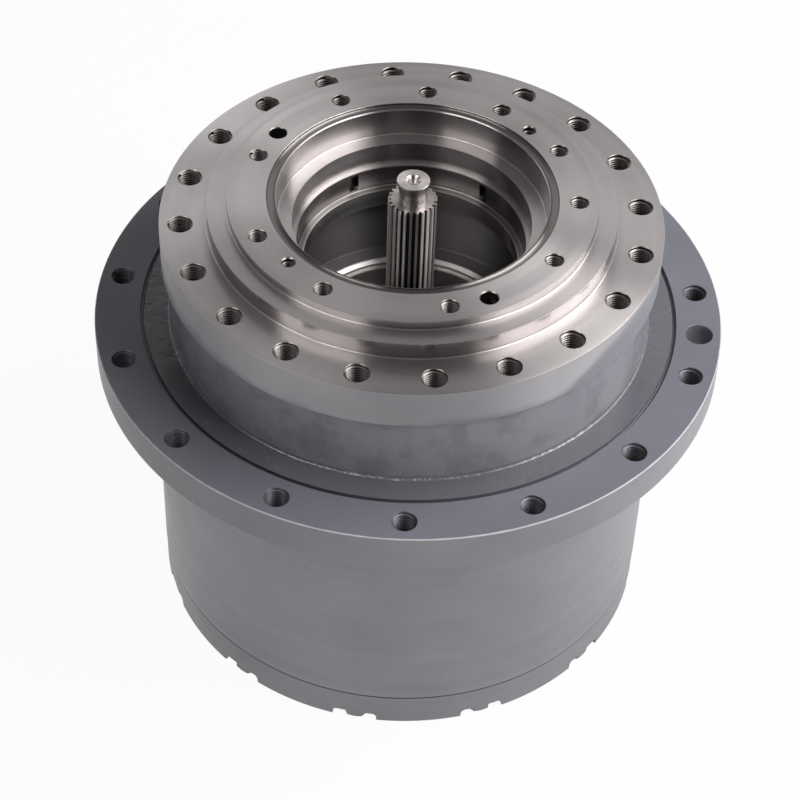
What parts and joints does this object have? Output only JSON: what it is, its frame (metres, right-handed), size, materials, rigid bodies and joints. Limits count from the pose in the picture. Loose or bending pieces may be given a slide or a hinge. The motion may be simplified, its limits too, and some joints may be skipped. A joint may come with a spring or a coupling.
{
  "type": "excavator final drive",
  "caption": "Planetary travel reducer: a machined hub with a stepped motor bore and splined input shaft, a rotating flanged housing, a drum with internal gear and a castellated cover.",
  "frame": {"origin": "centre of the cover's underside, on the axis of rotation, where the drive stands on its cover", "axes": "+Z along the axis of rotation, from the cover up to the motor side; +X to the right and -Y towards the camera of the picture"},
  "size_m": [0.436, 0.436, 0.356],
  "materials": {
    "machined_steel": "turned and ground, light oil film",
    "slate_paint": "satin dark slate paint over machined and rough-cast iron",
    "bearing_steel": "ground and hardened",
    "gear_steel": "cut, hardened and oiled",
    "bolt_steel": "blackened",
    "cast_iron": "as cast with machined seats",
    "bronze": "machined bearing bronze",
    "rubber": "moulded nitrile rubber"
  },
  "bodies": {
    "hub_body": {"hub": "machined_steel", "upper_bearing_inner_ring": "bearing_steel", "lower_bearing_inner_ring": "bearing_steel", "bearing_nut": "bolt_steel", "face_seal_ring_hub": "bearing_steel", "face_seal_rubber_hub": "rubber", "carrier_2": "cast_iron", "planet_pin_2_a": "gear_steel", "planet_pin_2_b": "gear_steel", "planet_pin_2_c": "gear_steel"},
    "housing_body": {"housing": "slate_paint", "ring_gear": "slate_paint", "cover": "slate_paint", "upper_bearing_outer_ring": "bearing_steel", "lower_bearing_outer_ring": "bearing_steel", "face_seal_ring_housing": "bearing_steel", "face_seal_rubber_housing": "rubber", "cover_seal_ring": "rubber", "housing_seal_ring": "rubber", "thrust_pad": "bronze", "cover_bolt_01": "bolt_steel", "cover_bolt_02": "bolt_steel", "cover_bolt_03": "bolt_steel", "cover_bolt_04": "bolt_steel", "cover_bolt_05": "bolt_steel", "cover_bolt_06": "bolt_steel", "cover_bolt_07": "bolt_steel", "cover_bolt_08": "bolt_steel", "cover_bolt_09": "bolt_steel", "cover_bolt_10": "bolt_steel", "cover_bolt_11": "bolt_steel", "cover_bolt_12": "bolt_steel", "fill_plug": "bolt_steel", "level_plug": "bolt_steel", "drain_plug": "bolt_steel"},
    "input_shaft_body": {"input_shaft": "gear_steel"},
    "carrier_1_body": {"carrier_1": "cast_iron", "sun_gear_2": "gear_steel", "planet_pin_1_a": "gear_steel", "planet_pin_1_b": "gear_steel", "planet_pin_1_c": "gear_steel"},
    "upper_rollers_body": {"upper_bearing_rollers": "bearing_steel"},
    "lower_rollers_body": {"lower_bearing_rollers": "bearing_steel"},
    "planet_1_a_body": {"planet_gear_1_a": "gear_steel", "planet_bush_1_a": "bronze"},
    "planet_1_b_body": {"planet_gear_1_b": "gear_steel", "planet_bush_1_b": "bronze"},
    "planet_1_c_body": {"planet_gear_1_c": "gear_steel", "planet_bush_1_c": "bronze"},
    "planet_2_a_body": {"planet_gear_2_a": "gear_steel", "planet_bush_2_a": "bronze"},
    "planet_2_b_body": {"planet_gear_2_b": "gear_steel", "planet_bush_2_b": "bronze"},
    "planet_2_c_body": {"planet_gear_2_c": "gear_steel", "planet_bush_2_c": "bronze"}
  },
  "joints": [
    {"name": "housing_spin", "type": "hinge", "parent": "hub_body", "child": "housing_body", "pos_m": [0, 0, 0.2294], "axis": [0, 0, 1], "continuous": true},
    {"name": "input_shaft_spin", "type": "hinge", "parent": "hub_body", "child": "input_shaft_body", "pos_m": [0, 0, 0.2], "axis": [0, 0, 1], "continuous": true},
    {"name": "carrier_1_spin", "type": "hinge", "parent": "hub_body", "child": "carrier_1_body", "pos_m": [0, 0, 0.066], "axis": [0, 0, 1], "continuous": true},
    {"name": "upper_rollers_spin", "type": "hinge", "parent": "hub_body", "child": "upper_rollers_body", "pos_m": [0, 0, 0.2473], "axis": [0, 0, 1], "continuous": true},
    {"name": "lower_rollers_spin", "type": "hinge", "parent": "hub_body", "child": "lower_rollers_body", "pos_m": [0, 0, 0.2007], "axis": [0, 0, 1], "continuous": true},
    {"name": "planet_1_a_spin", "type": "hinge", "parent": "carrier_1_body", "child": "planet_1_a_body", "pos_m": [0.09, 0, 0.0656], "axis": [0, 0, 1], "continuous": true},
    {"name": "planet_2_a_spin", "type": "hinge", "parent": "hub_body", "child": "planet_2_a_body", "pos_m": [0.09, 0, 0.1306], "axis": [0, 0, 1], "continuous": true},
    {"name": "planet_1_b_spin", "type": "hinge", "parent": "carrier_1_body", "child": "planet_1_b_body", "pos_m": [-0.045, 0.07794, 0.0656], "axis": [0, 0, 1], "continuous": true},
    {"name": "planet_2_b_spin", "type": "hinge", "parent": "hub_body", "child": "planet_2_b_body", "pos_m": [-0.045, 0.07794, 0.1306], "axis": [0, 0, 1], "continuous": true},
    {"name": "planet_1_c_spin", "type": "hinge", "parent": "carrier_1_body", "child": "planet_1_c_body", "pos_m": [-0.045, -0.07794, 0.0656], "axis": [0, 0, 1], "continuous": true},
    {"name": "planet_2_c_spin", "type": "hinge", "parent": "hub_body", "child": "planet_2_c_body", "pos_m": [-0.045, -0.07794, 0.1306], "axis": [0, 0, 1], "continuous": true}
  ],
  "couplings": [
    {"joint": "input_shaft_spin", "follows": "housing_spin", "ratio": -24},
    {"joint": "carrier_1_spin", "follows": "housing_spin", "ratio": -4},
    {"joint": "upper_rollers_spin", "follows": "housing_spin", "ratio": 0.523},
    {"joint": "lower_rollers_spin", "follows": "housing_spin", "ratio": 0.523},
    {"joint": "planet_1_a_spin", "follows": "housing_spin", "ratio": 13.333},
    {"joint": "planet_2_a_spin", "follows": "housing_spin", "ratio": 2.6667},
    {"joint": "planet_1_b_spin", "follows": "housing_spin", "ratio": 13.333},
    {"joint": "planet_2_b_spin", "follows": "housing_spin", "ratio": 2.6667},
    {"joint": "planet_1_c_spin", "follows": "housing_spin", "ratio": 13.333},
    {"joint": "planet_2_c_spin", "follows": "housing_spin", "ratio": 2.6667}
  ]
}
